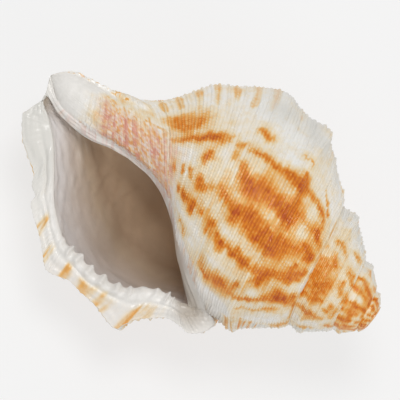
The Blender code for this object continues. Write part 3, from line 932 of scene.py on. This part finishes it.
# Stops of the tint, from bare white to the deepest orange, and of the lining, from the lip inwards
TINTS = (
    (0.00, (0.84, 0.82, 0.78, 1)), (0.22, (0.81, 0.67, 0.45, 1)), (0.42, (0.78, 0.43, 0.12, 1)),
    (0.66, (0.71, 0.22, 0.005, 1)), (1.00, (0.48, 0.080, 0.001, 1)),
)
LININGS = (
    (0.00, (0.82, 0.80, 0.78, 1)), (0.07, (0.75, 0.71, 0.69, 1)), (0.17, (0.59, 0.50, 0.43, 1)),
    (0.26, (0.50, 0.38, 0.27, 1)), (0.31, (0.43, 0.30, 0.20, 1)), (0.40, (0.74, 0.54, 0.36, 1)),
    (0.62, (0.95, 0.72, 0.52, 1)), (1.00, (0.93, 0.67, 0.44, 1)),
)
PINK = (0.66, 0.30, 0.22, 1)
PALES = ((0.36, (0.76, 0.735, 0.69, 1)), (0.60, (0.86, 0.835, 0.80, 1)))
# The colour of the painted shade in the canal's slit and the back canal
CANAL_SHADE = (0.28, 0.205, 0.125, 1)
GREY = (0.70, 0.685, 0.64, 1)
# Scale and detail of the three speckles
FINE, SOFT, GRAIN = (700.0, 4.0), (150.0, 3.0), (2600.0, 2.0)
SPECKLE_ROUGHNESS = 0.55
GLOSS = {"Specular IOR Level": 0.3, "Coat Weight": 0.28, "Coat Roughness": 0.13}
FLOOR_COLOUR = (0.22, 0.22, 0.22, 1)
FLOOR_GLOW = 0.69
FLOOR_HALF_SIDE = 6.0
WHITE = (1.0, 1.0, 1.0, 1)


def shell_finish():
    """Glossy shell: a white and tan ground with orange flames, a smooth white lip, and a lining that goes
    from white to brown. Each share of the surface mixes one more colour over those before it. Painted shade
    greys the face of the lip toward the canal and darkens the canal's slit and the back canal."""
    finish = Finish("glazed shell")
    fine, soft, grain = finish.speckle(*FINE), finish.speckle(*SOFT), finish.speckle(*GRAIN)
    tint = finish.share("orange") + 0.30 * (fine - 0.5) + 0.34 * (soft - 0.5)
    colour = finish.ramp(tint, TINTS)
    colour = finish.colour(finish.share("grey") * (0.6 + 0.6 * soft), colour, GREY)
    colour = finish.colour(finish.share("pink") * (0.5 + 0.6 * soft), colour, PINK)
    pale = finish.ramp(0.6 * soft + 0.4 * fine, PALES)
    colour = finish.colour(finish.share("white") * (0.85 + 0.2 * soft), colour, pale)
    # Painted shade: grey over the face of the lip toward the canal
    colour = finish.colour(finish.share("shade") * (0.6 + 0.6 * soft), colour, GREY)
    depth = finish.share("depth")
    inside = finish.ramp(depth + 0.06 * (soft - 0.5), LININGS)
    colour = finish.colour(depth.between(0.0, 0.05), colour, inside)
    # Painted shade, dark brown, in the canal's slit and the back canal
    colour = finish.colour(finish.share("stain"), colour, CANAL_SHADE)
    grained = {"Strength": 0.25, "Distance": 0.0002, "Height": fine + 0.4 * grain}
    finish.put(finish.surface, {
        "Base Color": colour, "Roughness": 0.34 + 0.14 * fine,
        "Normal": finish.node("ShaderNodeBump", None, grained), **GLOSS,
    })
    return finish.material


def floor_finish():
    finish = Finish("pale floor")
    finish.put(finish.surface, {
        "Base Color": FLOOR_COLOUR, "Roughness": 1.0, "Specular IOR Level": 0.0, "Emission Color": WHITE,
        "Emission Strength": FLOOR_GLOW,
    })
    return finish.material


# The pieces

# The older turns: name, first angle, last angle, columns
OLDER_TURNS = (
    ("spire_turn", -720, -360, 451), ("spire_tip", -1440, -720, 481), ("spire_apex", APEX_START, -1440, 217),
)


def build_shell():
    """The nine pieces. The wall and the lip share the normals of the edge where they meet."""
    body_angles = np.linspace(-360, 0, int(round(360 / BODY_STEP)) + 1)
    outer = len(ROW_PLACES)
    points, normals, colours = outer_wall(body_angles, outer)
    face, face_normals, face_shares = lip_and_lining(points[:, -1])
    shared = normals[:, -1] + face_normals[:outer, 0]
    shared = shared / (np.linalg.norm(shared, axis=-1, keepdims=True) + 1e-9)
    normals[:, -1] = shared
    face_normals[:outer, 0] = shared
    pieces = cut_pieces(BODY_PIECES, points, normals, colours)
    for name, first, last, columns in OLDER_TURNS:
        pieces += cut_pieces((name,), *outer_wall(np.linspace(first, last, columns), SPIRE_ROWS))
    pieces.append(grid_mesh("lip_and_lining", face, face_normals, face_shares, closed=True))
    material = shell_finish()
    for piece in pieces:
        piece.data.materials.append(material)
        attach(piece, "root")
        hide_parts("shell")


def build_floor():
    mesh = bpy.data.meshes.new("floor")
    side = FLOOR_HALF_SIDE
    corners = [(-side, -side, 0), (side, -side, 0), (side, side, 0), (-side, side, 0)]
    mesh.from_pydata(corners, [], [(0, 1, 2, 3)])
    floor = bpy.data.objects.new("floor", mesh)
    bpy.context.scene.collection.objects.link(floor)
    mesh.materials.append(floor_finish())


# Each light: name, place, size and power
LIGHTS = (("key", (-0.22, 0.20, 1.02), 0.38, 4.5), ("fill", (0.8, -0.5, 0.8), 0.8, 2.6))
LIT_POINT = (0, 0, 0.03)
SKY_STRENGTH = 0.50


def build_light():
    world = bpy.data.worlds.new("studio")
    world.use_nodes = True
    world.node_tree.nodes["Background"].inputs["Color"].default_value = WHITE
    world.node_tree.nodes["Background"].inputs["Strength"].default_value = SKY_STRENGTH
    bpy.context.scene.world = world
    for name, place, size, power in LIGHTS:
        data = bpy.data.lights.new(name, "AREA")
        data.shape = "DISK"
        data.size, data.energy = size, power
        light = bpy.data.objects.new(name, data)
        light.location = place
        light.rotation_euler = (Vector(LIT_POINT) - Vector(place)).to_track_quat("-Z", "Y").to_euler()
        bpy.context.scene.collection.objects.link(light)


# Where the camera aims and how it is turned, in the shell's own frame
AIM = (2.52, 52.86, 0.0)
PICTURE_RIGHT = (-0.603, 0.798, 0)
PICTURE_UP = (-0.798, -0.603, 0)
VIEW_DISTANCE = 2.5
VIEW_WIDTH = 0.10838
SENSOR_WIDTH = 36.0


def build_camera():
    """A long lens straight above the opening's plane, turned as the photograph is."""
    right, up = SHELL_TO_WORLD @ Vector(PICTURE_RIGHT), SHELL_TO_WORLD @ Vector(PICTURE_UP)
    back = SHELL_TO_WORLD @ Vector((0, 0, 1))
    data = bpy.data.cameras.new("camera")
    data.sensor_width = SENSOR_WIDTH
    data.lens = SENSOR_WIDTH * VIEW_DISTANCE / VIEW_WIDTH
    data.clip_end = 20.0
    camera = bpy.data.objects.new("camera", data)
    aim = SHELL_TO_WORLD @ Vector(AIM) + Vector(LAID_AT)
    turn = Matrix((right.normalized(), up.normalized(), back)).transposed().to_4x4()
    camera.matrix_world = Matrix.Translation(aim * MM + back * VIEW_DISTANCE) @ turn
    bpy.context.scene.collection.objects.link(camera)
    bpy.context.scene.camera = camera


bpy.context.scene.view_settings.view_transform = "Standard"
build_camera()
build_shell()
build_floor()
build_light()
